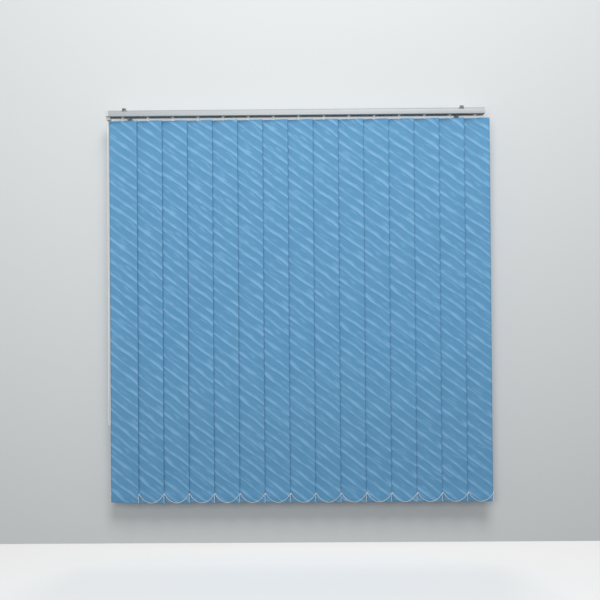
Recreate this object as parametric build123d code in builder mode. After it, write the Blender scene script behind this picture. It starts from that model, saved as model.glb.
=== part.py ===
from build123d import *
import math
import os

os.makedirs("parts", exist_ok=True)

# Louvres: how many, their cloth, their spacing along the rail and their angle when closed
louvre_count = 15
louvre_width = 127.0
louvre_pitch = 112.0
louvre_drop = 1700.0
cloth_thick = 0.4
closed_angle = 7.0
rail_to_cloth = 15.0
cloth_gap = 0.1

# Head rail
rail_width = 45.0
rail_height = 26.0
rail_wall = 1.5
rail_slot = 17.0
rail_corner = 2.0
control_inset = 2.4
idle_inset = 25.5
groove_depth = 0.9
groove_height = 2.4
groove_drop = 2.2

# Wall brackets and rail clips
wall_to_rail = 67.5
left_bracket_inset = 73.5
right_bracket_inset = 102.0
bracket_width = 22.0
bracket_thick = 2.0
bracket_bend = 3.0
plate_height = 48.0
hole_spacing = 30.0
hole_radius = 2.6
arm_overlap = 30.0
clip_thick = 1.0
clip_gap = 0.3
clip_lip_gap = 0.2
tab_height = 8.0
tab_width = 17.0
tab_lean = 3.0
bolt_radius = 2.5
bolt_gap = 0.1
bolt_head_radius = 4.6
bolt_head_height = 2.4

# Carriers and their spacer strips
carrier_length = 16.0
nose_drop = 1.5
nose_gap = 0.5
glide_gap = 0.1
shoulder_width = 34.0
shoulder_height = 5.0
carrier_width = 25.0
carrier_top_gap = 3.5
spacer_width = 5.0
spacer_thick = 0.2
spacer_step = 0.4
spacer_levels = 8
spacer_offset = 8.0
spacer_floor = 13.0
spacer_gap = 0.3
spacer_head_length = 3.0
spacer_head_side = 0.8
spacer_reach = 7.5

# Tilt rod, chain wheel and bead chain
rod_radius = 3.0
rod_height = 13.2
rod_gap = 0.6
rod_end_gap = 1.0
socket_gap = 0.05
wheel_clear = 3.0
wheel_pitch_radius = 8.0
wheel_groove = 5.3
wheel_flange = 0.85
wheel_lip = 1.2
hub_radius = 4.6
hub_length = 12.0
running_gap = 0.1
chain_diameter = 4.5
chain_gap = 0.4
chain_drop = 1384.0
chain_straight = 1190.0
chain_bulge_start = 1290.0
chain_bulge = 13.5

# Control housing and idle end cap
housing_wall = 1.5
plug_length = 11.6
plug_gap = 0.15
guide_drop = 12.5
guide_width = 17.0
guide_depth = 27.0
guide_corner = 4.0
guide_gap = 0.7
cap_thick = 3.0
cap_bevel = 1.8
housing_bevel = 0.9
cap_plug_length = 12.0

# Hanger stem with its fork, which has a short lip in front and a long prong with a peg behind
stem_radius = 2.5
stem_head_radius = 4.2
stem_head_low = 5.0
stem_head_height = 3.4
head_gap = 0.4
head_lift = 0.1
bridge_low = 8.0
bridge_high = 4.0
fork_width = 8.0
fork_inside = 2.4
prong_thick = 0.8
prong_length = 14.5
lip_length = 8.5
peg_width = 6.2
peg_height = 3.8
peg_gap = 0.3

# Top insert, hem weight and bottom chains
insert_width = 118.0
insert_height = 24.0
insert_thick = 0.9
insert_hole_drop = 7.0
window_width = 10.0
window_height = 7.0
pocket_taper = 8.0
weight_height = 39.0
weight_thick = 0.9
weight_reach = 1.5
ear_gap = 2.2
arm_height = 5.0
stud_size = 1.6
stud_reach = 3.3
stud_height = 4.0
eyelet_inside = 2.6
eyelet_outside = 4.2
eyelet_height = 1.6
eyelet_lift = 1.0
swag_drop = 40.0
swag_size = 1.6
swag_x_shares = (0.0, 0.16, 0.5, 0.84, 1.0)
swag_drop_shares = (0.0, 0.62, 1.08, 0.62, 0.0)
run_share = 0.45

# One overrun serves every cut that goes right through
overrun = 2.0

# Places that follow from the sizes above. The wall is the plane y = 0 and the rail is in front of it.
control_margin = louvre_width / 2 - control_inset
idle_margin = louvre_width / 2 - idle_inset
wheel_offset = louvre_width / 2 + wheel_clear
rail_length = control_margin + (louvre_count - 1) * louvre_pitch + idle_margin
bracket_span = rail_length - left_bracket_inset - right_bracket_inset
rail_left = -bracket_span / 2 - left_bracket_inset
rail_right = rail_left + rail_length
rail_y = -wall_to_rail - rail_width / 2
rail_top = plate_height / 2 - bracket_thick - clip_thick
rail_bottom = rail_top - rail_height
rod_z = rail_bottom + rod_height
cloth_top = rail_bottom - rail_to_cloth
cloth_bottom = cloth_top - louvre_drop
first_stem = rail_left + control_margin
chain_x = first_stem - wheel_offset
stem_places = [first_stem + n * louvre_pitch for n in range(louvre_count)]
across = (math.cos(math.radians(closed_angle)), -math.sin(math.radians(closed_angle)), 0)
backward = (math.sin(math.radians(closed_angle)), math.cos(math.radians(closed_angle)), 0)
world = Plane.XY


def section_plane(x):
    return Plane(origin=(x, rail_y, rail_bottom), x_dir=(0, 1, 0), z_dir=(1, 0, 0))


def louvre_frame(x, z):
    return Plane(origin=(x, rail_y, z), x_dir=across, z_dir=(0, 0, 1))


def block(frame, x_from, x_to, y_from, y_to, z_from, z_to):
    middle = Pos((x_from + x_to) / 2, (y_from + y_to) / 2, (z_from + z_to) / 2)
    return frame.location * middle * Box(x_to - x_from, y_to - y_from, z_to - z_from, mode=Mode.PRIVATE)


def arc_radii(points):
    radii = []
    for before, corner, after in zip(points, points[1:], points[2:]):
        first = Vector(*corner) - Vector(*before)
        second = Vector(*after) - Vector(*corner)
        half_turn = math.radians(first.get_angle(second)) / 2
        radii.append(run_share * min(first.length, second.length) / math.tan(half_turn))
    return radii


def save(piece, name):
    piece.label = name
    export_step(piece, "parts/" + name + ".step")


# Head rail: a channel with a slot below and a clip groove along the front and back faces
with BuildPart() as headrail:
    with BuildSketch(section_plane(rail_left)) as rail_section:
        with Locations((0, rail_height / 2)):
            Rectangle(rail_width, rail_height)
        fillet(rail_section.vertices().group_by(Axis.Z)[-1], rail_corner)
        with Locations((0, rail_height / 2)):
            Rectangle(rail_width - 2 * rail_wall, rail_height - 2 * rail_wall, mode=Mode.SUBTRACT)
        Rectangle(rail_slot, 2 * rail_wall, mode=Mode.SUBTRACT)
        with Locations((-rail_width / 2, rail_height - groove_drop - groove_height / 2)):
            Rectangle(2 * groove_depth, groove_height, mode=Mode.SUBTRACT)
        with Locations((rail_width / 2, rail_height - groove_drop - groove_height / 2)):
            Rectangle(2 * groove_depth, groove_height, mode=Mode.SUBTRACT)
    extrude(amount=rail_length)
save(headrail.part, "headrail")

# Control housing: a box on the rail's end, a plug inside the rail and a chain guide below it
wheel_half = wheel_groove / 2 + wheel_flange
housing_inside = chain_x - wheel_half - chain_gap
housing_outside = housing_inside - housing_wall
wheel_room = wheel_pitch_radius + chain_diameter / 2 + chain_gap
inner_half = rail_width / 2 - rail_wall - plug_gap
plug_low = rail_bottom + rail_wall + plug_gap
plug_high = rail_top - rail_wall - plug_gap
plug_end = rail_left + plug_length
guide_left = housing_inside
with BuildPart() as control_housing:
    with BuildSketch(section_plane(housing_outside)) as housing_section:
        with Locations((0, rail_height / 2)):
            Rectangle(rail_width, rail_height)
        fillet(housing_section.vertices().group_by(Axis.Z)[-1], rail_corner)
    extrude(amount=rail_left - housing_outside)
    chamfer(control_housing.edges().group_by(Axis.X)[0], housing_bevel)
    add(block(world, rail_left, plug_end, rail_y - inner_half, rail_y + inner_half, plug_low, plug_high))
    with BuildSketch(Plane.XY.offset(rail_bottom)) as guide_outline:
        with Locations((guide_left + guide_width / 2, rail_y)):
            RectangleRounded(guide_width, guide_depth, guide_corner)
    extrude(amount=-guide_drop)
    with BuildSketch(Plane(origin=(housing_inside, rail_y, rod_z), x_dir=(0, 1, 0), z_dir=(1, 0, 0))):
        Circle(wheel_room)
    extrude(amount=2 * (wheel_half + chain_gap), mode=Mode.SUBTRACT)
    with BuildSketch(Plane(origin=(chain_x, rail_y, rod_z), x_dir=(0, 1, 0), z_dir=(1, 0, 0))):
        Circle(hub_radius + running_gap)
    extrude(amount=plug_end - chain_x + overrun, mode=Mode.SUBTRACT)
    with BuildSketch(Plane.XY.offset(rail_bottom - guide_drop - overrun)):
        with Locations((chain_x, rail_y - wheel_pitch_radius), (chain_x, rail_y + wheel_pitch_radius)):
            Circle(chain_diameter / 2 + guide_gap)
    extrude(amount=rod_z - rail_bottom + guide_drop + overrun, mode=Mode.SUBTRACT)
save(control_housing.part, "control_housing")

# Chain wheel: a grooved pulley whose hub turns in the housing and carries the end of the rod
groove_radius = wheel_pitch_radius - chain_diameter / 2 - chain_gap
lip_radius = wheel_pitch_radius + wheel_lip
hub_end = wheel_half + hub_length
wheel_profile = (
    (-wheel_half, 0),
    (-wheel_half, lip_radius),
    (-wheel_groove / 2, lip_radius),
    (-wheel_groove / 2, groove_radius),
    (wheel_groove / 2, groove_radius),
    (wheel_groove / 2, lip_radius),
    (wheel_half, lip_radius),
    (wheel_half, hub_radius),
    (hub_end, hub_radius),
    (hub_end, 0),
)
wheel_axis = Axis((chain_x, rail_y, rod_z), (-1, 0, 0))
rod_start = chain_x
with BuildPart() as chain_wheel:
    with BuildSketch(Plane(origin=(chain_x, rail_y, rod_z), x_dir=(1, 0, 0), z_dir=(0, -1, 0))):
        with BuildLine():
            Polyline(*wheel_profile, close=True)
        make_face()
    revolve(axis=wheel_axis)
    with BuildSketch(Plane(origin=(rod_start, rail_y, rod_z), x_dir=(0, 1, 0), z_dir=(1, 0, 0))):
        RegularPolygon(rod_radius + socket_gap, 6)
    extrude(amount=hub_end + overrun, mode=Mode.SUBTRACT)
save(chain_wheel.part, "chain_wheel")

# Idle end cap: a bevelled cover with a plug in the rail and a bearing pocket for the rod
cap_outside = rail_right + cap_thick
cap_plug = rail_right - cap_plug_length
rod_stop = rail_right - rod_end_gap
with BuildPart() as idle_end_cap:
    with BuildSketch(section_plane(rail_right)) as cap_section:
        with Locations((0, rail_height / 2)):
            Rectangle(rail_width, rail_height)
        fillet(cap_section.vertices().group_by(Axis.Z)[-1], rail_corner)
    extrude(amount=cap_thick)
    chamfer(idle_end_cap.edges().group_by(Axis.X)[-1], cap_bevel)
    add(block(world, cap_plug, rail_right, rail_y - inner_half, rail_y + inner_half, plug_low, plug_high))
    with BuildSketch(Plane(origin=(cap_plug - overrun, rail_y, rod_z), x_dir=(0, 1, 0), z_dir=(1, 0, 0))):
        Circle(rod_radius + running_gap)
    extrude(amount=rod_stop + running_gap - cap_plug + overrun, mode=Mode.SUBTRACT)
save(idle_end_cap.part, "idle_end_cap")

# Tilt rod: six-sided, from the chain wheel to the idle end cap
with BuildPart() as tilt_rod:
    with BuildSketch(Plane(origin=(rod_start + socket_gap, rail_y, rod_z), x_dir=(0, 1, 0), z_dir=(1, 0, 0))):
        RegularPolygon(rod_radius, 6)
    extrude(amount=rod_stop - rod_start - socket_gap)
save(tilt_rod.part, "tilt_rod")

# Bead chain: over the wheel, down two straight runs and round a slightly wider loop at the bottom
chain_points = [
    (-wheel_pitch_radius, 0),
    (-wheel_pitch_radius, -chain_straight),
    (-chain_bulge, -chain_bulge_start),
    (-chain_bulge, -chain_drop),
    (chain_bulge, -chain_drop),
    (chain_bulge, -chain_bulge_start),
    (wheel_pitch_radius, -chain_straight),
    (wheel_pitch_radius, 0),
]
chain_radii = arc_radii(chain_points)
chain_plane = Plane(origin=(chain_x, rail_y, rod_z), x_dir=(0, 1, 0), z_dir=(1, 0, 0))
with BuildPart() as tilt_chain:
    with BuildLine(chain_plane):
        chain_route = FilletPolyline(*chain_points, radius=chain_radii)
    with BuildSketch(Plane(origin=chain_route @ 0, z_dir=chain_route % 0)):
        Circle(chain_diameter / 2)
    sweep()
    with BuildSketch(Plane(origin=chain_route @ 0, z_dir=chain_route % 0)):
        Circle(chain_diameter / 2)
    revolve(axis=wheel_axis, revolution_arc=180)
chain_round = chain_route.length + math.pi * wheel_pitch_radius
print("tilt_chain radii", [round(r, 2) for r in chain_radii], "length", round(chain_round, 1))
print("tilt_chain volume", round(tilt_chain.part.volume), "section x length",
      round(math.pi * (chain_diameter / 2) ** 2 * chain_round))
save(tilt_chain.part, "tilt_chain")

# Carriers: a moulded block on the rail's two flanges, with the stem's bearing, a passage for the rod
# and an open channel for the spacer strips
nose_half = rail_slot / 2 - nose_gap
glide_z = rail_wall + glide_gap
carrier_top = rail_height - rail_wall - carrier_top_gap
carrier_outline = [
    (-nose_half, -nose_drop),
    (nose_half, -nose_drop),
    (nose_half, glide_z),
    (shoulder_width / 2, glide_z),
    (shoulder_width / 2, glide_z + shoulder_height),
    (carrier_width / 2, glide_z + shoulder_height),
    (carrier_width / 2, carrier_top),
    (-carrier_width / 2, carrier_top),
    (-carrier_width / 2, glide_z + shoulder_height),
    (-shoulder_width / 2, glide_z + shoulder_height),
    (-shoulder_width / 2, glide_z),
    (-nose_half, glide_z),
]
passage_half = rod_radius + rod_gap
channel_half = spacer_width / 2 + spacer_gap
head_half = spacer_width / 2 + spacer_head_side
spacer_y = rail_y - spacer_offset
channel_low = rail_bottom + spacer_floor
channel_high = rail_bottom + carrier_top + overrun
notch_half = spacer_head_length / 2 + spacer_gap
head_low = rail_bottom + stem_head_low
head_high = head_low + stem_head_height
for number, x in enumerate(stem_places):
    name = f"carrier_{number + 1:02d}"
    left = x - carrier_length / 2
    with BuildPart() as carrier:
        with BuildSketch(section_plane(left)):
            with BuildLine():
                Polyline(*carrier_outline, close=True)
            make_face()
            with Locations((0, rod_height)):
                Rectangle(2 * passage_half, 2 * passage_half, mode=Mode.SUBTRACT)
            with Locations((-spacer_offset, (spacer_floor + carrier_top + overrun) / 2)):
                Rectangle(2 * channel_half, carrier_top + overrun - spacer_floor, mode=Mode.SUBTRACT)
        extrude(amount=carrier_length)
        add(
            block(
                world,
                x - notch_half,
                x + notch_half,
                spacer_y - head_half - spacer_gap,
                spacer_y + head_half + spacer_gap,
                channel_low,
                channel_high,
            ),
            mode=Mode.SUBTRACT,
        )
        with BuildSketch(Plane.XY.offset(rail_bottom - nose_drop - overrun)):
            with Locations((x, rail_y)):
                Circle(stem_radius + running_gap)
        extrude(amount=nose_drop + overrun + stem_head_low, mode=Mode.SUBTRACT)
        with BuildSketch(Plane.XY.offset(head_low - head_lift)):
            with Locations((x, rail_y)):
                Circle(stem_head_radius + head_gap)
        extrude(amount=stem_head_height + head_lift + head_gap, mode=Mode.SUBTRACT)
        if number < louvre_count - 1:
            strip_z = channel_low + spacer_gap + spacer_step * (number % spacer_levels)
            head_start = x - spacer_head_length / 2
            head_stop = x + spacer_head_length / 2
            strip_end = x + louvre_pitch + spacer_reach
            strip_outline = (
                (head_start, spacer_y - head_half),
                (head_stop, spacer_y - head_half),
                (head_stop, spacer_y - spacer_width / 2),
                (strip_end, spacer_y - spacer_width / 2),
                (strip_end, spacer_y + spacer_width / 2),
                (head_stop, spacer_y + spacer_width / 2),
                (head_stop, spacer_y + head_half),
                (head_start, spacer_y + head_half),
            )
            with BuildSketch(Plane.XY.offset(strip_z)):
                with BuildLine():
                    Polyline(*strip_outline, close=True)
                make_face()
            extrude(amount=spacer_thick)
    save(carrier.part, name)

# Louvres: one sheet of cloth with a pocket round the top insert and a hem pocket round the weight
top_half = insert_thick / 2 + cloth_gap
hem_half = weight_thick / 2 + cloth_gap
top_room = insert_height + 2 * cloth_gap
hem_room = weight_height + 2 * cloth_gap
top_taper = cloth_thick + top_room + pocket_taper
hem_taper = cloth_thick + hem_room + pocket_taper
sheet_half = cloth_thick / 2
louvre_outline = [
    (top_half + cloth_thick, 0),
    (top_half + cloth_thick, -cloth_thick - top_room),
    (sheet_half, -top_taper),
    (sheet_half, hem_taper - louvre_drop),
    (hem_half + cloth_thick, cloth_thick + hem_room - louvre_drop),
    (hem_half + cloth_thick, -louvre_drop),
]
louvre_outline = louvre_outline + [(-y, z) for y, z in reversed(louvre_outline)]
top_pocket = (
    (-top_half, -cloth_thick),
    (top_half, -cloth_thick),
    (top_half, -cloth_thick - top_room),
    (-top_half, -cloth_thick - top_room),
)
hem_pocket = (
    (-hem_half, cloth_thick - louvre_drop),
    (hem_half, cloth_thick - louvre_drop),
    (hem_half, cloth_thick + hem_room - louvre_drop),
    (-hem_half, cloth_thick + hem_room - louvre_drop),
)
insert_top = cloth_thick + cloth_gap
peg_drop = insert_top + insert_hole_drop
window_top = peg_drop - window_height / 2
window_bottom = peg_drop + window_height / 2
for number, x in enumerate(stem_places):
    name = f"louvre_{number + 1:02d}"
    frame = louvre_frame(x, cloth_top)
    edge = frame.from_local_coords((-louvre_width / 2, 0, 0))
    with BuildPart() as louvre:
        with BuildSketch(Plane(origin=edge, x_dir=backward, z_dir=across)):
            with BuildLine():
                Polyline(*louvre_outline, close=True)
            make_face()
            with BuildLine():
                Polyline(*top_pocket, close=True)
            make_face(mode=Mode.SUBTRACT)
            with BuildLine():
                Polyline(*hem_pocket, close=True)
            make_face(mode=Mode.SUBTRACT)
        extrude(amount=louvre_width)
        add(
            block(
                frame,
                -window_width / 2,
                window_width / 2,
                0,
                top_half + cloth_thick + overrun,
                -window_bottom,
                -window_top,
            ),
            mode=Mode.SUBTRACT,
        )
    save(louvre.part, name)

# Louvre fittings: the hanger stem with its fork, the top insert and the hem weight with its chain studs
bridge_top = rail_bottom - bridge_high
bridge_bottom = rail_bottom - bridge_low
fork_half = fork_inside / 2 + prong_thick
peg_z = cloth_top - peg_drop
insert_z = cloth_top - insert_top
weight_low = cloth_bottom + cloth_thick + cloth_gap
weight_high = weight_low + weight_height
ear_inside = louvre_width / 2 + ear_gap
ear_outside = ear_inside + stud_size
plate_end = louvre_width / 2 + weight_reach
stud_arm_low = weight_high - arm_height
for number, x in enumerate(stem_places):
    name = f"louvre_fittings_{number + 1:02d}"
    frame = louvre_frame(x, 0)
    with BuildPart() as fittings:
        with BuildSketch(Plane.XY.offset(bridge_top)):
            with Locations((x, rail_y)):
                Circle(stem_radius)
        extrude(amount=head_low - bridge_top)
        with BuildSketch(Plane.XY.offset(head_low)):
            with Locations((x, rail_y)):
                Circle(stem_head_radius)
        extrude(amount=stem_head_height)
        add(block(frame, -fork_width / 2, fork_width / 2, -fork_half, fork_half, bridge_bottom, bridge_top))
        for inner, outer, length in (
            (-fork_half, -fork_inside / 2, lip_length),
            (fork_inside / 2, fork_half, prong_length),
        ):
            low = bridge_bottom - length
            add(block(frame, -fork_width / 2, fork_width / 2, inner, outer, low, bridge_bottom))
        add(
            block(
                frame,
                -peg_width / 2,
                peg_width / 2,
                -insert_thick / 2,
                fork_inside / 2,
                peg_z - peg_height / 2,
                peg_z + peg_height / 2,
            )
        )
        insert_plate = block(
            frame,
            -insert_width / 2,
            insert_width / 2,
            -insert_thick / 2,
            insert_thick / 2,
            insert_z - insert_height,
            insert_z,
        )
        peg_hole = block(
            frame,
            -peg_width / 2 - peg_gap,
            peg_width / 2 + peg_gap,
            -insert_thick,
            insert_thick,
            peg_z - peg_height / 2 - peg_gap,
            peg_z + peg_height / 2 + peg_gap,
        )
        add(insert_plate - peg_hole)
        half = weight_thick / 2
        weight = block(frame, -plate_end, plate_end, -half, half, weight_low, weight_high)
        for turn in (1, -1):
            ends = sorted((turn * plate_end, turn * ear_outside))
            weight += block(frame, *ends, -half, half, stud_arm_low, weight_high)
            arm = sorted((turn * ear_inside, turn * ear_outside))
            sides = sorted((turn * half, -turn * stud_reach))
            weight += block(frame, *arm, *sides, stud_arm_low, weight_high)
            studs = sorted((-turn * (stud_reach - stud_size), -turn * stud_reach))
            weight += block(frame, *arm, *studs, weight_high, weight_high + stud_height)
        add(weight)
    save(fittings.part, name)

# Bottom chains: an eyelet round each stud and a swag from each louvre to the next, in front and behind
stud_x = (ear_inside + ear_outside) / 2
stud_y = stud_reach - stud_size / 2
eyelet_low = weight_high + eyelet_lift
swag_span = louvre_pitch - eyelet_outside
swag_start = eyelet_outside / 2
swag_points = [
    (swag_start + swag_span * along, -swag_drop * down)
    for along, down in zip(swag_x_shares, swag_drop_shares)
]
swag_radii = arc_radii(swag_points)
print("swag radii", [round(r, 2) for r in swag_radii])
for name, turn in (("front_bottom_chain", 1), ("rear_bottom_chain", -1)):
    studs = [
        louvre_frame(x, eyelet_low).from_local_coords((turn * stud_x, -turn * stud_y, 0)) for x in stem_places
    ]
    with BuildPart() as chain:
        with BuildSketch(Plane.XY.offset(eyelet_low)):
            with Locations(*[(stud.X, stud.Y) for stud in studs]):
                Rectangle(eyelet_outside, eyelet_outside)
                Rectangle(eyelet_inside, eyelet_inside, mode=Mode.SUBTRACT)
        extrude(amount=eyelet_height)
        for stud in studs[:-1]:
            origin = (stud.X, stud.Y, eyelet_low + eyelet_height / 2)
            with BuildLine(Plane(origin=origin, x_dir=(1, 0, 0), z_dir=(0, -1, 0))):
                swag_route = FilletPolyline(*swag_points, radius=swag_radii)
            with BuildSketch(Plane(origin=swag_route @ 0, x_dir=(0, 1, 0), z_dir=swag_route % 0)):
                Rectangle(swag_size, swag_size)
            sweep()
    print(name, "swag length", round(swag_route.length, 1), "volume", round(chain.part.volume))
    save(chain.part, name)

# Wall brackets: a plate on the wall and an arm over the rail
arm_low = rail_top + clip_thick
arm_front = rail_y + rail_width / 2 - arm_overlap
bracket_places = (("left", rail_left + left_bracket_inset), ("right", rail_right - right_bracket_inset))
bracket_outline = (
    (0, -plate_height / 2),
    (0, plate_height / 2),
    (arm_front, plate_height / 2),
    (arm_front, arm_low),
    (-bracket_thick, arm_low),
    (-bracket_thick, -plate_height / 2),
)
for side, x in bracket_places:
    with BuildPart() as wall_bracket:
        with BuildSketch(Plane(origin=(x - bracket_width / 2, 0, 0), x_dir=(0, 1, 0), z_dir=(1, 0, 0))):
            with BuildLine():
                Polyline(*bracket_outline, close=True)
            make_face()
        extrude(amount=bracket_width)
        bends = wall_bracket.edges().filter_by(Axis.X).group_by(Axis.Y)
        fillet(bends[-1].sort_by(Axis.Z)[-1], bracket_bend)
        fillet(bends[-2].sort_by(Axis.Z)[-1], bracket_bend - bracket_thick)
        with BuildSketch(Plane(origin=(x, overrun, 0), x_dir=(1, 0, 0), z_dir=(0, -1, 0))):
            with Locations((0, -hole_spacing / 2), (0, hole_spacing / 2)):
                Circle(hole_radius)
        extrude(amount=bracket_thick + 2 * overrun, mode=Mode.SUBTRACT)
        with BuildSketch(Plane.XY.offset(arm_low - overrun)):
            with Locations((x, rail_y)):
                Circle(bolt_radius + bolt_gap)
        extrude(amount=bracket_thick + 2 * overrun, mode=Mode.SUBTRACT)
    save(wall_bracket.part, "wall_bracket_" + side)

# Rail clips: spring steel over the rail's top with a lip in each groove and a release tab in front
clip_inside = rail_width / 2 + clip_gap
clip_outside = clip_inside + clip_thick
lip_reach = rail_width / 2 - groove_depth + clip_lip_gap
lip_low = rail_height - groove_drop - groove_height + clip_lip_gap
clip_half = (
    (0, rail_height),
    (clip_inside, rail_height),
    (clip_inside, lip_low + clip_thick),
    (lip_reach, lip_low + clip_thick),
    (lip_reach, lip_low),
    (clip_outside, lip_low),
    (clip_outside, rail_height + clip_thick),
    (0, rail_height + clip_thick),
)
tab_foot = clip_outside - clip_thick
tab_outline = (
    (-tab_foot, rail_height),
    (-clip_outside, rail_height),
    (-clip_outside - tab_lean, rail_height + tab_height),
    (-tab_foot - tab_lean, rail_height + tab_height),
)
for side, x in bracket_places:
    with BuildPart() as rail_clip:
        with BuildSketch(section_plane(x - bracket_width / 2)):
            with BuildLine():
                Polyline(*clip_half, *[(-y, z) for y, z in reversed(clip_half[1:-1])], close=True)
            make_face()
        extrude(amount=bracket_width)
        with BuildSketch(section_plane(x - tab_width / 2)):
            with BuildLine():
                Polyline(*tab_outline, close=True)
            make_face()
        extrude(amount=tab_width)
        with BuildSketch(Plane.XY.offset(rail_top - overrun)):
            with Locations((x, rail_y)):
                Circle(bolt_radius + bolt_gap)
        extrude(amount=clip_thick + 2 * overrun, mode=Mode.SUBTRACT)
    save(rail_clip.part, "rail_clip_" + side)

# Clip bolts: a round head on the arm and a shank through arm and clip
bolt_low = rail_top + bolt_gap
bolt_seat = plate_height / 2
with BuildPart() as clip_bolts:
    with BuildSketch(Plane.XY.offset(bolt_low)):
        with Locations(*[(x, rail_y) for side, x in bracket_places]):
            Circle(bolt_radius)
    extrude(amount=bolt_seat - bolt_low)
    with BuildSketch(Plane.XY.offset(bolt_seat)):
        with Locations(*[(x, rail_y) for side, x in bracket_places]):
            Circle(bolt_head_radius)
    extrude(amount=bolt_head_height)
save(clip_bolts.part, "clip_bolts")
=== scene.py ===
import bpy
import bmesh
import math
from mathutils import Matrix, Vector


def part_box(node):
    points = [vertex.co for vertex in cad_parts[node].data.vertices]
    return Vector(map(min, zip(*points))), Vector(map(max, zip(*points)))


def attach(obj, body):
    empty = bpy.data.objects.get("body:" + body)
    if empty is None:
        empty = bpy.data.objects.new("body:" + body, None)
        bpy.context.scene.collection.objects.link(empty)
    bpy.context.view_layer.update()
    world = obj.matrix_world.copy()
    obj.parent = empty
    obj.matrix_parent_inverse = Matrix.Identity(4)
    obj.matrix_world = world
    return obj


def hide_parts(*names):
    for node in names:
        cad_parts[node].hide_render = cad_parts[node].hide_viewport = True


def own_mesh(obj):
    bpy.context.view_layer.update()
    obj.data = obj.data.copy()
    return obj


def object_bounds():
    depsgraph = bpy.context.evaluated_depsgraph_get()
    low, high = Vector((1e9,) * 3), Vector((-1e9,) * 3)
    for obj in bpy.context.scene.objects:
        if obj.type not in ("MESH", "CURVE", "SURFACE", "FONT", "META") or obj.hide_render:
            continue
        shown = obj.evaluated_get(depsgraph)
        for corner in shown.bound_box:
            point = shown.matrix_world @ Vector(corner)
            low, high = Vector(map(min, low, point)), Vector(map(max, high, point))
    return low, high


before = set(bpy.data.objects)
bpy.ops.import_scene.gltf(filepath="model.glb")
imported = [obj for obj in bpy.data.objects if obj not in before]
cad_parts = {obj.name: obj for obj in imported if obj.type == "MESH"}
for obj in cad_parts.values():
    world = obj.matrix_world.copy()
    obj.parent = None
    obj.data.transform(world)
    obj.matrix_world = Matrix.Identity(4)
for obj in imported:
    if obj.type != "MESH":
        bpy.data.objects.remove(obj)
cadBox = [list(corner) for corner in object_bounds()]
scene = bpy.context.scene
scene.view_settings.view_transform = "Standard"
print("frame loaded:", len(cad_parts), "nodes")


# Camera, as the photograph was taken: level with the middle of the cloth, a little to the right
view = {
    "place": (0.0456, -3.229, -0.848),
    "turnLeft": 0.353,      # degrees
    "tiltUp": 0.435,
    "rollRight": 0.418,
    "focalPixels": 706.1,
    "imagePixels": 600,
    "sensor": 36.0,         # millimetres
}


def setCamera():
    lens = bpy.data.cameras.new("photoCamera")
    lens.sensor_width = view["sensor"]
    lens.lens = view["sensor"] * view["focalPixels"] / view["imagePixels"]
    camera = bpy.data.objects.new("photoCamera", lens)
    turn = Matrix.Rotation(math.radians(view["turnLeft"]), 3, "Z")
    tilt = Matrix.Rotation(math.radians(90 + view["tiltUp"]), 3, "X")
    roll = Matrix.Rotation(math.radians(-view["rollRight"]), 3, "Z")
    camera.location = view["place"]
    camera.rotation_euler = (turn @ tilt @ roll).to_euler()
    scene.collection.objects.link(camera)
    scene.camera = camera


setCamera()
print("camera set")


# Nodes: a wire is an output socket that takes part in sums, and addNode makes any node
class Wire:
    def __init__(self, tree, socket):
        self.tree = tree
        self.socket = socket

    def out(self, name):
        return Wire(self.tree, self.socket.node.outputs[name])

    def sum(self, operation, first, second=0.0):
        return addNode(self.tree, "ShaderNodeMath", {"operation": operation}, {0: first, 1: second})

    def __add__(self, other):
        return self.sum("ADD", self, other)

    def __radd__(self, other):
        return self.sum("ADD", other, self)

    def __sub__(self, other):
        return self.sum("SUBTRACT", self, other)

    def __rsub__(self, other):
        return self.sum("SUBTRACT", other, self)

    def __mul__(self, other):
        return self.sum("MULTIPLY", self, other)

    def __rmul__(self, other):
        return self.sum("MULTIPLY", other, self)

    def __truediv__(self, other):
        return self.sum("DIVIDE", self, other)

    def __mod__(self, other):
        return self.sum("FLOORED_MODULO", self, other)

    def __gt__(self, other):
        return self.sum("GREATER_THAN", self, other)

    def __lt__(self, other):
        return self.sum("LESS_THAN", self, other)

    def __abs__(self):
        return self.sum("ABSOLUTE", self)

    def __floor__(self):
        return self.sum("FLOOR", self)

    def min(self, other):
        return self.sum("MINIMUM", self, other)

    def max(self, other):
        return self.sum("MAXIMUM", self, other)

    def sign(self):
        return self.sum("SIGN", self)

    def sine(self):
        return self.sum("SINE", self)


def addNode(tree, kind, settings=None, inputs=None, output=0):
    made = tree.nodes.new(kind)
    for name, value in (settings or {}).items():
        setattr(made, name, value)
    for key, value in (inputs or {}).items():
        for part in value if isinstance(value, list) else [value]:
            if isinstance(part, Wire):
                tree.links.new(part.socket, made.inputs[key])
            else:
                made.inputs[key].default_value = part
    return Wire(tree, made.outputs[output]) if made.outputs else made


# Materials: each starts from newFinish and ends in one Principled shader
def newFinish(name):
    finish = bpy.data.materials.new(name)
    finish.use_nodes = True
    finish.node_tree.nodes.clear()
    return finish, finish.node_tree


def closeFinish(tree, colour, roughness, normal, metallic=0.0, specular=0.5, sheen=0.0):
    shader = addNode(tree, "ShaderNodeBsdfPrincipled", None, {
        "Base Color": colour, "Roughness": roughness, "Normal": normal, "Metallic": metallic,
        "Specular IOR Level": specular, "Sheen Weight": sheen})
    addNode(tree, "ShaderNodeOutputMaterial", None, {"Surface": shader})


def mixColour(tree, share, first, second):
    settings = {"data_type": "RGBA", "clamp_factor": True}
    return addNode(tree, "ShaderNodeMix", settings, {0: share, 6: first, 7: second}, 2)


def fade(tree, value, low, high):
    return addNode(tree, "ShaderNodeMapRange", {"interpolation_type": "SMOOTHSTEP"},
                   {"Value": value, "From Min": low, "From Max": high})


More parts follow.
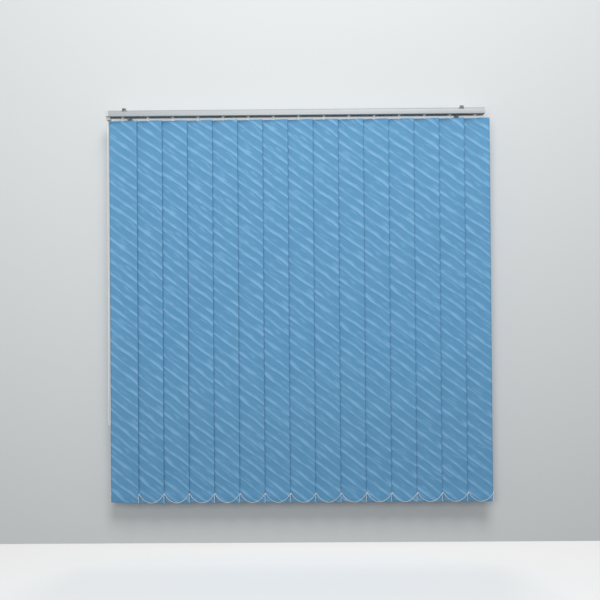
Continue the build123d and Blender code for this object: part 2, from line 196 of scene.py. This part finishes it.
def speckle(tree, place, scale, detail):
    return addNode(tree, "ShaderNodeTexNoise", None,
                   {"Vector": place, "Scale": scale, "Detail": detail})


def bump(tree, height, strength, distance):
    return addNode(tree, "ShaderNodeBump", None,
                   {"Height": height, "Strength": strength, "Distance": distance})


def objectPlace(tree, scale=(1, 1, 1)):
    place = addNode(tree, "ShaderNodeTexCoord").out("Object")
    return addNode(tree, "ShaderNodeMapping", None, {"Vector": place, "Scale": scale})


speckleMiddle = 0.5     # what a speckle averages

# Louvre cloth: a mid blue weave with slanting pale streaks, which follow the strip of each louvre,
# and a painted shade line below each streak
clothLook = {
    "blue": (0.126, 0.318, 0.520, 1),
    "deepBlue": (0.078, 0.240, 0.420, 1),
    "paleBlue": (0.216, 0.432, 0.650, 1),
    "slope": 0.73,                      # how far a streak falls for each step across
    "streakEvery": 0.0509,              # down the cloth
    "streakHeight": 0.0230,
    "streakFoot": (0.0, 0.009),         # heights between which its lower edge sets in
    "streakTop": (0.35, 1.0),           # shares of its height between which it fades out
    "streakPale": (0.42, 0.42),         # pale blue in all of it, and more where it is strong
    "streakStrong": (0.35, 0.65),
    "streakHairs": (0.6, 0.8),          # its even part and its hairs
    "wander": 0.4,                      # up and down, as a share of the spacing
    "paintedShadeHeight": (0.0010, 0.0055),     # painted shade: a dark line below a streak, where it is strong
    "paintedShadeStrong": (0.42, 0.58),
    "paintedShadeDeep": 0.9,
    "cloudSize": (9.0, 2.0),            # scale and detail
    "cloudDeep": (0.25, 0.5),
    "hazePale": 0.4,                    # thin pale haze between the streaks
    "hazeStrong": (0.54, 0.74),
    "brushes": ((7, 16), (13, 24), (11, 60), (24, 330)),    # per metre, along and across a streak
    "brushSize": (1.0, 1.0),
    "thread": 0.0011,
    "hairRelief": 0.6,
    "relief": (0.25, 0.00012),          # strength and depth
    "roughness": (0.78, 0.12),
    "specular": 0.25,
    "sheen": 0.12,
}


def clothFinish():
    finish, tree = newFinish("streakedBlueCloth")
    place = addNode(tree, "ShaderNodeAttribute", {"attribute_name": "clothPlace"}).out("Vector")
    parts = addNode(tree, "ShaderNodeSeparateXYZ", None, {0: place})
    across, down = parts.out("X"), parts.out("Y")
    along = across + clothLook["slope"] * down
    fall = down - clothLook["slope"] * across
    every = clothLook["streakEvery"]

    def brushed(lengthways, crossways):
        spot = addNode(tree, "ShaderNodeCombineXYZ", None,
                       {"X": along * lengthways, "Y": fall * crossways})
        return speckle(tree, spot, *clothLook["brushSize"])

    def strong(value, name):
        return fade(tree, value, *clothLook[name])

    wander, broken, haze, hairs = [brushed(*brush) for brush in clothLook["brushes"]]
    below = (fall / every + (wander - speckleMiddle) * clothLook["wander"]) % 1.0 * every
    above = every - below
    reach = clothLook["streakHeight"] * (speckleMiddle + broken)
    stroke = strong(above, "streakFoot") * (1 - strong(above / reach, "streakTop"))
    allPale, morePale = clothLook["streakPale"]
    even, hairy = clothLook["streakHairs"]
    streak = stroke * (allPale + morePale * strong(broken, "streakStrong")) * (even + hairy * hairs)
    # painted shade: a dark line just below each streak, where the streak is strong
    edge = (1 - strong(below, "paintedShadeHeight")) * strong(broken, "paintedShadeStrong")
    clouds = speckle(tree, place, *clothLook["cloudSize"])
    allDeep, cloudDeep = clothLook["cloudDeep"]
    body = mixColour(tree, allDeep + cloudDeep * clouds, clothLook["blue"], clothLook["deepBlue"])
    body = mixColour(tree, clothLook["hazePale"] * strong(haze, "hazeStrong"), body,
                     clothLook["paleBlue"])
    # the painted shade line below each streak, in deep blue
    body = mixColour(tree, clothLook["paintedShadeDeep"] * edge, body, clothLook["deepBlue"])
    colour = mixColour(tree, streak, body, clothLook["paleBlue"])
    turn = 2 * math.pi / clothLook["thread"]
    threads = (across * turn).sine() * (down * turn).sine()
    weave = threads + clothLook["hairRelief"] * (hairs - speckleMiddle)
    rough, cloudRough = clothLook["roughness"]
    closeFinish(tree, colour, rough + cloudRough * clouds, bump(tree, weave, *clothLook["relief"]),
                specular=clothLook["specular"], sheen=clothLook["sheen"])
    return finish


# Rail and rod: satin anodised aluminium with fine lines along the extrusion
railLook = {
    "silver": (0.46, 0.487, 0.50, 1),
    "shade": (0.38, 0.403, 0.415, 1),
    "lineStretch": (2.0, 900.0, 900.0),
    "lineSize": (1.0, 3.0),             # scale and detail
    "lineShade": 0.35,
    "lineRough": 0.06,
    "smudgeSize": (14.0, 3.0),
    "smudgeShade": 0.25,
    "smudgeRough": 0.12,
    "relief": (0.06, 0.00005),          # strength and depth
    "metallic": 0.12,
    "specular": 0.3,
    "roughness": 0.48,
}


def aluminiumFinish():
    finish, tree = newFinish("satinAluminium")
    lines = speckle(tree, objectPlace(tree, railLook["lineStretch"]), *railLook["lineSize"])
    smudge = speckle(tree, objectPlace(tree), *railLook["smudgeSize"])
    shade = railLook["lineShade"] * lines + railLook["smudgeShade"] * smudge
    rough = railLook["roughness"] + railLook["smudgeRough"] * smudge + railLook["lineRough"] * lines
    closeFinish(tree, mixColour(tree, shade, railLook["silver"], railLook["shade"]), rough,
                bump(tree, lines, *railLook["relief"]),
                metallic=railLook["metallic"], specular=railLook["specular"])
    return finish


# Moulded plastics: each has its colour, its gloss and a faint moulding grain
plasticLooks = {
    "whiteMouldedPlastic": {
        "colour": (0.58, 0.60, 0.605, 1), "grime": (0.51, 0.525, 0.52, 1), "gloss": 0.46},
    "hangerPlastic": {
        "colour": (0.82, 0.83, 0.83, 1), "grime": (0.72, 0.73, 0.72, 1), "gloss": 0.26},
    "carrierPlastic": {
        "colour": (0.60, 0.61, 0.61, 1), "grime": (0.50, 0.51, 0.50, 1), "gloss": 0.42},
    "chainPlastic": {
        "colour": (0.84, 0.85, 0.84, 1), "grime": (0.74, 0.75, 0.72, 1), "gloss": 0.30},
}
plasticGrain = {
    "grainSize": (900.0, 2.0),          # scale and detail
    "wearSize": (22.0, 3.0),
    "wornFrom": (0.45, 0.8),
    "wearRough": 0.14,
    "specular": 0.35,
    "relief": (0.08, 0.00006),          # strength and depth
}


def plasticFinish(name):
    look = plasticLooks[name]
    finish, tree = newFinish(name)
    grain = speckle(tree, objectPlace(tree), *plasticGrain["grainSize"])
    wear = speckle(tree, objectPlace(tree), *plasticGrain["wearSize"])
    worn = fade(tree, wear, *plasticGrain["wornFrom"])
    closeFinish(tree, mixColour(tree, worn, look["colour"], look["grime"]),
                look["gloss"] + plasticGrain["wearRough"] * wear,
                bump(tree, grain, *plasticGrain["relief"]), specular=plasticGrain["specular"])
    return finish


# Steels: zinc plate on the brackets and bolts, dark spring steel in the clips
steelLooks = {
    "zincPlatedSteel": {
        "colour": (0.46, 0.47, 0.48, 1), "stain": (0.30, 0.31, 0.32, 1), "gloss": 0.36},
    "darkSpringSteel": {
        "colour": (0.20, 0.205, 0.21, 1), "stain": (0.11, 0.112, 0.115, 1), "gloss": 0.32},
}
steelGrain = {
    "spangleScale": 260.0,
    "spangleShare": 0.4,
    "stainSize": (60.0, 4.0),           # scale and detail
    "stainFrom": (0.4, 0.75),
    "stainShare": 0.6,
    "stainRough": 0.2,
    "metallic": 0.95,
    "relief": (0.05, 0.0001),           # strength and depth
}


def steelFinish(name):
    look = steelLooks[name]
    finish, tree = newFinish(name)
    spangle = addNode(tree, "ShaderNodeTexVoronoi", None,
                      {"Vector": objectPlace(tree), "Scale": steelGrain["spangleScale"]})
    stain = speckle(tree, objectPlace(tree), *steelGrain["stainSize"])
    stained = fade(tree, stain, *steelGrain["stainFrom"])
    share = steelGrain["spangleShare"] * spangle + steelGrain["stainShare"] * stained
    closeFinish(tree, mixColour(tree, share, look["colour"], look["stain"]),
                look["gloss"] + steelGrain["stainRough"] * stain,
                bump(tree, stain, *steelGrain["relief"]), metallic=steelGrain["metallic"])
    return finish


cloth = clothFinish()
aluminium = aluminiumFinish()
whitePlastic, hangerPlastic, carrierPlastic, chainPlastic = map(plasticFinish, plasticLooks)
zincSteel, springSteel = map(steelFinish, steelLooks)
print("finishes made")


# Places read from the frame
louvreCount = 15
louvreNumbers = [f"{order + 1:02d}" for order in range(louvreCount)]


def boxOf(node):
    return [Vector(corner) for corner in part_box(node)]


def middleOf(node):
    low, high = boxOf(node)
    return (low + high) / 2


stems = [middleOf("louvre_" + number) for number in louvreNumbers]
pitch = stems[1].x - stems[0].x
clothTop = boxOf("louvre_01")[1].z
clothDrop = clothTop - boxOf("louvre_01")[0].z


# Trees: each runs on a mesh of points or lines and leaves a plain mesh
def newTree(name, sizes):
    tree = bpy.data.node_groups.new(name, "GeometryNodeTree")
    tree.interface.new_socket("Geometry", in_out="INPUT", socket_type="NodeSocketGeometry")
    tree.interface.new_socket("Geometry", in_out="OUTPUT", socket_type="NodeSocketGeometry")
    for label, kind in sizes.items():
        tree.interface.new_socket(label, in_out="INPUT", socket_type="NodeSocket" + kind)
    return tree, addNode(tree, "NodeGroupInput")


def closeTree(tree, shape, finish):
    whole = addNode(tree, "GeometryNodeRealizeInstances", None, {0: shape})
    shaded = addNode(tree, "GeometryNodeSetShadeSmooth", None, {0: whole, 2: True})
    dressed = addNode(tree, "GeometryNodeSetMaterial", None, {0: shaded, 2: finish})
    addNode(tree, "NodeGroupOutput", None, {0: dressed})


def runTree(name, mesh, tree, sizes):
    piece = bpy.data.objects.new(name, mesh)
    scene.collection.objects.link(piece)
    modifier = piece.modifiers.new("tree", "NODES")
    modifier.node_group = tree
    for item in tree.interface.items_tree:
        if item.in_out == "INPUT" and item.name in sizes:
            modifier[item.identifier] = sizes[item.name]
    graph = bpy.context.evaluated_depsgraph_get()
    plain = bpy.data.meshes.new_from_object(piece.evaluated_get(graph), depsgraph=graph)
    piece.modifiers.remove(modifier)
    piece.data = plain
    plain.name = name
    return piece


def pointMesh(name, points):
    mesh = bpy.data.meshes.new(name)
    mesh.from_pydata(points, [], [])
    return mesh


# Cords: a smooth line through listed points, then beads and their string along it
cordLine = {
    "steps": 32,            # from point to point
    "order": 3,
    "stringSides": 6,
}


def smoothLine(name, points):
    curve = bpy.data.curves.new(name, "CURVE")
    curve.dimensions = "3D"
    curve.resolution_u = cordLine["steps"]
    spline = curve.splines.new("NURBS")
    spline.points.add(len(points) - 1)
    for point, place in zip(spline.points, points):
        point.co = (*place, 1)
    spline.order_u = cordLine["order"]
    spline.use_endpoint_u = True
    holder = bpy.data.objects.new(name, curve)
    scene.collection.objects.link(holder)
    graph = bpy.context.evaluated_depsgraph_get()
    line = bpy.data.meshes.new_from_object(holder.evaluated_get(graph), depsgraph=graph)
    bpy.data.objects.remove(holder)
    return line


def beadTree():
    tree, given = newTree("beadChain", {"Bead": "Float", "Spacing": "Float", "String": "Float",
                                        "Segments": "Int", "Rings": "Int"})
    path = addNode(tree, "GeometryNodeMeshToCurve", None, {0: given.out("Geometry")})
    even = addNode(tree, "GeometryNodeResampleCurve", {"mode": "LENGTH"},
                   {"Curve": path, "Length": given.out("Spacing")})
    spots = addNode(tree, "GeometryNodeCurveToPoints", {"mode": "EVALUATED"}, {"Curve": even})
    bead = addNode(tree, "GeometryNodeMeshUVSphere", None,
                   {"Segments": given.out("Segments"), "Rings": given.out("Rings"),
                    "Radius": given.out("Bead") / 2})
    beads = addNode(tree, "GeometryNodeInstanceOnPoints", None,
                    {"Points": spots, "Instance": bead, "Rotation": spots.out("Rotation")})
    ring = addNode(tree, "GeometryNodeCurvePrimitiveCircle", None,
                   {"Resolution": cordLine["stringSides"], "Radius": given.out("String") / 2})
    string = addNode(tree, "GeometryNodeCurveToMesh", None,
                     {"Curve": even, "Profile Curve": ring, "Fill Caps": True})
    both = addNode(tree, "GeometryNodeJoinGeometry", None, {0: [beads, string]})
    closeTree(tree, both, chainPlastic)
    return tree


def stringBeads(name, line, chain):
    return runTree(name, line, beadChain,
                   {"Bead": chain["bead"], "Spacing": chain["spacing"], "String": chain["string"],
                    "Segments": chain["segments"], "Rings": chain["rings"]})


beadChain = beadTree()

# Tilt chain: a loop of beads that hangs from the wheel in the control housing
tiltChain = {
    "route": ((-0.0080, 0.000), (-0.0080, -1.190), (-0.0135, -1.290), (-0.0135, -1.384),
              (0.0135, -1.384), (0.0135, -1.290), (0.0080, -1.190), (0.0080, 0.000)),
    "bead": 0.0045,
    "spacing": 0.0060,
    "string": 0.0014,
    "segments": 10,
    "rings": 6,
    "length": 2.785,
}


def hangTiltChain():
    centre = middleOf("tilt_chain")
    centre.z = middleOf("tilt_rod").z
    points = [(centre.x, centre.y + y, centre.z + z) for y, z in tiltChain["route"]]
    line = smoothLine("tiltChainLine", points)
    chain = stringBeads("tiltChainBeads", line, tiltChain)
    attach(chain, "rail_body")
    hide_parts("tilt_chain")


hangTiltChain()
print("tilt chain hung")

# Bottom chains: a short swag of fine beads from each louvre to the next, in front and behind
bottomChain = {
    "acrossShares": (0.0, 0.012, 0.16, 0.5, 0.84, 0.988, 1.0),
    "dropShares": (-0.01, 0.0, 0.62, 1.08, 0.62, 0.0, -0.01),
    "outward": (0.0021, 0.0058, 0.0050, 0.0050, 0.0050, 0.0058, 0.0021),    # clear of turned cloth
    "drop": 0.040,
    "bead": 0.0024,
    "spacing": 0.0033,
    "string": 0.0009,
    "segments": 7,
    "rings": 6,
    "length": 0.143,
    "eyelet": 0.0042,       # outside
    "eyeletWire": 0.0016,
    "eyeletSteps": 20,
    "eyeletSides": 8,
    "stackPitch": 0.027,
}


def hangSwags(side, outwards):
    node = side + "_bottom_chain"
    low, high = boxOf(node)
    firstStud = Vector((low.x + bottomChain["eyelet"] / 2, (low.y + high.y) / 2,
                        high.z - bottomChain["eyeletWire"] / 2))
    half = bottomChain["bead"] / 2
    span = pitch - bottomChain["bead"]
    fall = bottomChain["drop"]
    bends = list(zip(bottomChain["acrossShares"], bottomChain["outward"],
                     bottomChain["dropShares"]))
    for number in range(len(stems) - 1):
        start = firstStud + Vector((number * pitch + half, 0, 0))
        points = [(start.x + span * across, start.y + outwards * out, start.z - fall * drop)
                  for across, out, drop in bends]
        line = smoothLine("swagLine", points)
        swag = stringBeads(f"{side}Swag_{number + 1:02d}", line, bottomChain)
        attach(swag, side + "_chain_body")
        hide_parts(node)
        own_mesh(swag)
    return firstStud


def eyeletTree():
    tree, given = newTree("chainEyelets", {"Outside": "Float", "Wire": "Float"})
    wire = given.out("Wire") / 2
    ring = addNode(tree, "GeometryNodeCurvePrimitiveCircle", None,
                   {"Resolution": bottomChain["eyeletSteps"],
                    "Radius": given.out("Outside") / 2 - wire})
    section = addNode(tree, "GeometryNodeCurvePrimitiveCircle", None,
                      {"Resolution": bottomChain["eyeletSides"], "Radius": wire})
    loop = addNode(tree, "GeometryNodeCurveToMesh", None,
                   {"Curve": ring, "Profile Curve": section})
    loops = addNode(tree, "GeometryNodeInstanceOnPoints", None,
                    {"Points": given.out("Geometry"), "Instance": loop})
    closeTree(tree, loops, chainPlastic)
    return tree


def clipEyelets(studs):
    tree = eyeletTree()
    for order, number in enumerate(louvreNumbers):
        spots = [stud + Vector((order * pitch, 0, 0)) for stud in studs]
        eyelets = runTree("chainEyelets_" + number, pointMesh("eyeletSpots", spots), tree,
                          {"Outside": bottomChain["eyelet"], "Wire": bottomChain["eyeletWire"]})
        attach(eyelets, "louvre_body_" + number)
        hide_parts("front_bottom_chain", "rear_bottom_chain")


clipEyelets([hangSwags("front", -1), hangSwags("rear", 1)])
print("bottom chains hung")


# Louvres: one strip of cloth each, folded over the top insert and round the hem weight
louvre = {
    "width": 0.127,
    "thick": 0.0004,
    "closedAngle": -7,                  # degrees, so that each right edge stands forward
    "topPocket": (0.00075, 0.0246),     # half depth and height
    "hemPocket": (0.00075, 0.0396),
    "taper": 0.0080,
    "bodyStep": 0.024,
    "foldSteps": 8,
    "columns": 21,
    "window": (0.010, 0.0040, 0.0110),  # width, top and bottom, round the hanger's peg
    "cup": 0.0005,
    "cupTurn": 2.4,                     # radians, so that neighbours bow by different amounts
    "patternShifts": (0.000, 0.061, 0.148, 0.263, 0.296, 0.417, 0.522, 0.571,
                      0.690, 0.741, 0.868, 0.905, 1.033, 1.128, 1.171),
}


def stripPath():
    depth, height = louvre["topPocket"]
    hemDepth, hemHeight = louvre["hemPocket"]
    thick, taper, drop = louvre["thick"], louvre["taper"], clothDrop
    windowTop, windowBottom = louvre["window"][1:]
    angles = [math.pi * step / louvre["foldSteps"] for step in range(louvre["foldSteps"] + 1)]
    fold = [(math.cos(angle), math.sin(angle)) for angle in angles]
    path = [(thick, -height - taper), (depth, -height), (depth, -windowBottom), (depth, -windowTop)]
    path += [(depth * across, depth * (up - 1) - thick / 2) for across, up in fold]
    path += [(-depth, -windowTop), (-depth, -windowBottom), (-depth, -height)]
    bodyStart, bodyEnd = -height - taper, hemHeight + taper - drop
    steps = round((bodyStart - bodyEnd) / louvre["bodyStep"])
    path += [(0, bodyStart + (bodyEnd - bodyStart) * step / steps) for step in range(steps + 1)]
    path += [(-hemDepth, hemHeight - drop)]
    path += [(-hemDepth * across, hemDepth * (1 - up) + thick / 2 - drop) for across, up in fold]
    path += [(hemDepth, hemHeight - drop), (thick, hemHeight + taper - drop)]
    return path


def pathMesh(path):
    mesh = pointMesh("stripPath", [(0, y, z) for y, z in path])
    flat = mesh.attributes.new("flat", "FLOAT", "POINT")
    length = 0.0
    for order, place in enumerate(path):
        if order:
            length += math.dist(place, path[order - 1])
        flat.data[order].value = length
    return mesh, length


def stripTree():
    tree, given = newTree("foldedStrip", {
        "Width": "Float", "Columns": "Int", "Drop": "Float", "Window width": "Float",
        "Window top": "Float", "Window bottom": "Float", "Cup": "Float", "Turn": "Vector",
        "Place": "Vector", "Pattern": "Float"})
    path = given.out("Geometry")
    rows = addNode(tree, "GeometryNodeAttributeDomainSize", {"component": "MESH"}, {0: path})
    grid = addNode(tree, "GeometryNodeMeshGrid", None,
                   {"Vertices X": given.out("Columns"), "Vertices Y": rows})
    index = addNode(tree, "GeometryNodeInputIndex")
    row = index % rows
    half = (given.out("Columns") - 1) / 2
    column = math.floor(index / rows) - half
    windowHalf = given.out("Window width") / 2
    beyond = (given.out("Width") / 2 - windowHalf) / (half - 1)
    steps = abs(column)
    x = column.sign() * (steps.min(1) * windowHalf + (steps - 1).max(0) * beyond)
    position = addNode(tree, "GeometryNodeInputPosition")
    onPath = addNode(tree, "GeometryNodeSampleIndex", {"data_type": "FLOAT_VECTOR"},
                     {"Geometry": path, "Value": position, "Index": row})
    flat = addNode(tree, "GeometryNodeInputNamedAttribute", {"data_type": "FLOAT"},
                   {"Name": "flat"})
    down = addNode(tree, "GeometryNodeSampleIndex", {"data_type": "FLOAT"},
                   {"Geometry": path, "Value": flat, "Index": row})
    section = addNode(tree, "ShaderNodeSeparateXYZ", None, {0: onPath})
    hang = section.out("Z") / given.out("Drop") * -1
    middle = 2 * x / given.out("Width")
    bow = given.out("Cup") * (1 - middle * middle) * 4 * hang * (1 - hang)
    place = addNode(tree, "ShaderNodeCombineXYZ", None,
                    {"X": x, "Y": section.out("Y") + bow, "Z": section.out("Z")})
    clothPlace = addNode(tree, "ShaderNodeCombineXYZ", None,
                         {"X": x, "Y": down + given.out("Pattern")})
    marked = addNode(tree, "GeometryNodeStoreNamedAttribute",
                     {"data_type": "FLOAT_VECTOR", "domain": "POINT"},
                     {"Geometry": grid, "Name": "clothPlace", "Value": clothPlace})
    folded = addNode(tree, "GeometryNodeSetPosition", None,
                     {"Geometry": marked, "Position": place})
    here = addNode(tree, "ShaderNodeSeparateXYZ", None, {0: position})
    depth = here.out("Z") * -1
    inWidth = (abs(here.out("X")) < windowHalf) * (here.out("Y") > 0)
    inHeight = (depth > given.out("Window top")) * (depth < given.out("Window bottom"))
    punched = addNode(tree, "GeometryNodeDeleteGeometry", {"domain": "FACE"},
                      {"Geometry": folded, "Selection": inWidth * inHeight})
    hung = addNode(tree, "GeometryNodeTransform", None,
                   {"Geometry": punched, "Translation": given.out("Place"),
                    "Rotation": given.out("Turn")})
    closeTree(tree, hung, cloth)
    return tree


def hangLouvres():
    tree = stripTree()
    path = stripPath()
    turn = math.radians(louvre["closedAngle"])
    windowWidth, windowTop, windowBottom = louvre["window"]
    for order, number in enumerate(louvreNumbers):
        mesh, length = pathMesh(path)
        piece = runTree("clothLouvre_" + number, mesh, tree, {
            "Width": louvre["width"], "Columns": louvre["columns"], "Drop": clothDrop,
            "Window width": windowWidth, "Window top": windowTop, "Window bottom": windowBottom,
            "Cup": louvre["cup"] * math.sin(louvre["cupTurn"] * order), "Turn": (0.0, 0.0, turn),
            "Place": (stems[order].x, stems[order].y, clothTop),
            "Pattern": louvre["patternShifts"][order]})
        wall = piece.modifiers.new("thickness", "SOLIDIFY")
        wall.thickness = louvre["thick"]
        wall.offset = 0
        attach(piece, "louvre_body_" + number)
        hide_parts("louvre_" + number)
    print("louvres hung, each cut", round(length, 4), "m long")


# Hard pieces: the frame's own solids, merged and with their edges eased
edges = {
    "headrail": ("rail_body", "rail_aluminium", 0.0002),
    "tilt_rod": ("tilt_drive", "rod_aluminium", 0.0002),
    "chain_wheel": ("tilt_drive", "white_plastic", 0.0002),
    "control_housing": ("rail_body", "white_plastic", 0.0003),
    "idle_end_cap": ("rail_body", "white_plastic", 0.0003),
    "wall_bracket_left": ("rail_body", "bracket_steel", 0.0003),
    "wall_bracket_right": ("rail_body", "bracket_steel", 0.0003),
    "rail_clip_left": ("rail_body", "clip_steel", 0.0002),
    "rail_clip_right": ("rail_body", "clip_steel", 0.0002),
    "clip_bolts": ("rail_body", "bracket_steel", 0.0003),
}
fittingEdge = 0.0002
edgeCare = {
    "mergeWithin": 0.000002,
    "flatWithin": 1,        # degrees
    "sharpFrom": 35,
    "steps": 2,
}
finishes = {
    "rail_aluminium": aluminium,
    "rod_aluminium": aluminium,
    "white_plastic": whitePlastic,
    "hanger_plastic": hangerPlastic,
    "bracket_steel": zincSteel,
    "clip_steel": springSteel,
}


def easeEdges(name, node, body, slot, width):
    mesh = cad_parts[node].data.copy()
    shape = bmesh.new()
    shape.from_mesh(mesh)
    bmesh.ops.remove_doubles(shape, verts=shape.verts, dist=edgeCare["mergeWithin"])
    bmesh.ops.dissolve_limit(shape, angle_limit=math.radians(edgeCare["flatWithin"]),
                             verts=shape.verts, edges=shape.edges)
    for face in shape.faces:
        face.smooth = True
    shape.to_mesh(mesh)
    shape.free()
    mesh.materials.clear()
    mesh.materials.append(finishes[slot])
    piece = bpy.data.objects.new(name, mesh)
    scene.collection.objects.link(piece)
    bevel = piece.modifiers.new("edges", "BEVEL")
    bevel.width = width
    bevel.segments = edgeCare["steps"]
    bevel.limit_method = "ANGLE"
    bevel.angle_limit = math.radians(edgeCare["sharpFrom"])
    bevel.harden_normals = True
    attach(piece, body)
    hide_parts(node)


def dressHardPieces():
    for node, (body, slot, width) in edges.items():
        words = node.split("_")
        name = "edged" + "".join(word.capitalize() for word in words)
        easeEdges(name, node, body, slot, width)
    for number in louvreNumbers:
        easeEdges("edgedFittings_" + number, "louvre_fittings_" + number, "louvre_body_" + number,
                  "hanger_plastic", fittingEdge)
        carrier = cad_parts["carrier_" + number]
        carrier.data.materials.clear()
        carrier.data.materials.append(carrierPlastic)


dressHardPieces()
print("hard pieces dressed")
hangLouvres()


# Stage: a pale floor, and a backdrop that only the camera and mirrors see, and only from the front
stage = {
    "floorDrop": 0.21,      # below the cloth
    "floorSize": 9.0,
    "backdropGap": 0.001,   # behind the wall plates
    "backdropColour": (0.61, 0.63, 0.635, 1),
    "floorColour": (0.82, 0.82, 0.81, 1),
    "floorBounce": 0.10,    # share of its colour that the floor throws back
    "ambient": 0.45,
    "ambientColour": (0.98, 0.99, 1.0, 1),
    "lamps": {
        "keyLamp": {"place": (0.5, -3.6, 3.3), "size": 2.2, "power": 190},
        "fillLamp": {"place": (-0.7, -4.5, -0.1), "size": 2.0, "power": 80},
        "backLamp": {"place": (0.6, 3.2, 0.8), "size": 2.0, "power": 40},
    },
}


def stageFinish(name, colour, bounce):
    finish, tree = newFinish(name)
    ray = addNode(tree, "ShaderNodeLightPath")
    mirrored = ray.out("Is Glossy Ray").max(ray.out("Is Transmission Ray"))
    seen = ray.out("Is Camera Ray").max(mirrored)
    front = 1 - addNode(tree, "ShaderNodeNewGeometry").out("Backfacing")
    dim = tuple(part * bounce for part in colour[:3]) + (1,)
    solid = addNode(tree, "ShaderNodeBsdfDiffuse", None,
                    {"Color": mixColour(tree, seen, dim, colour)})
    clear = addNode(tree, "ShaderNodeBsdfTransparent")
    shown = front if bounce else front * seen
    both = addNode(tree, "ShaderNodeMixShader", None, {0: shown, 1: clear, 2: solid})
    addNode(tree, "ShaderNodeOutputMaterial", None, {"Surface": both})
    return finish


def stagePlane(name, corners, colour, bounce):
    mesh = bpy.data.meshes.new(name)
    mesh.from_pydata(corners, [], [(0, 1, 2, 3)])
    mesh.materials.append(stageFinish(name, colour, bounce))
    plane = bpy.data.objects.new(name, mesh)
    scene.collection.objects.link(plane)


def setStage():
    side = stage["floorSize"] / 2
    floor = clothTop - clothDrop - stage["floorDrop"]
    wall = cadBox[1][1] + stage["backdropGap"]
    stagePlane("backdrop",
               [(-side, wall, floor), (side, wall, floor), (side, wall, side), (-side, wall, side)],
               stage["backdropColour"], 0)
    stagePlane("floor",
               [(-side, -side, floor), (side, -side, floor), (side, side, floor),
                (-side, side, floor)],
               stage["floorColour"], stage["floorBounce"])
    aim = Vector((0, stems[0].y, clothTop - clothDrop / 2))
    for name, lamp in stage["lamps"].items():
        light = bpy.data.lights.new(name, "AREA")
        light.size = lamp["size"]
        light.energy = lamp["power"]
        holder = bpy.data.objects.new(name, light)
        holder.location = lamp["place"]
        holder.rotation_euler = (aim - holder.location).to_track_quat("-Z", "Y").to_euler()
        scene.collection.objects.link(holder)
    world = bpy.data.worlds.new("studio")
    world.use_nodes = True
    world.node_tree.nodes.clear()
    glow = addNode(world.node_tree, "ShaderNodeBackground", None,
                   {"Color": stage["ambientColour"], "Strength": stage["ambient"]})
    addNode(world.node_tree, "ShaderNodeOutputWorld", None, {"Surface": glow})
    scene.world = world


setStage()
print("stage set")
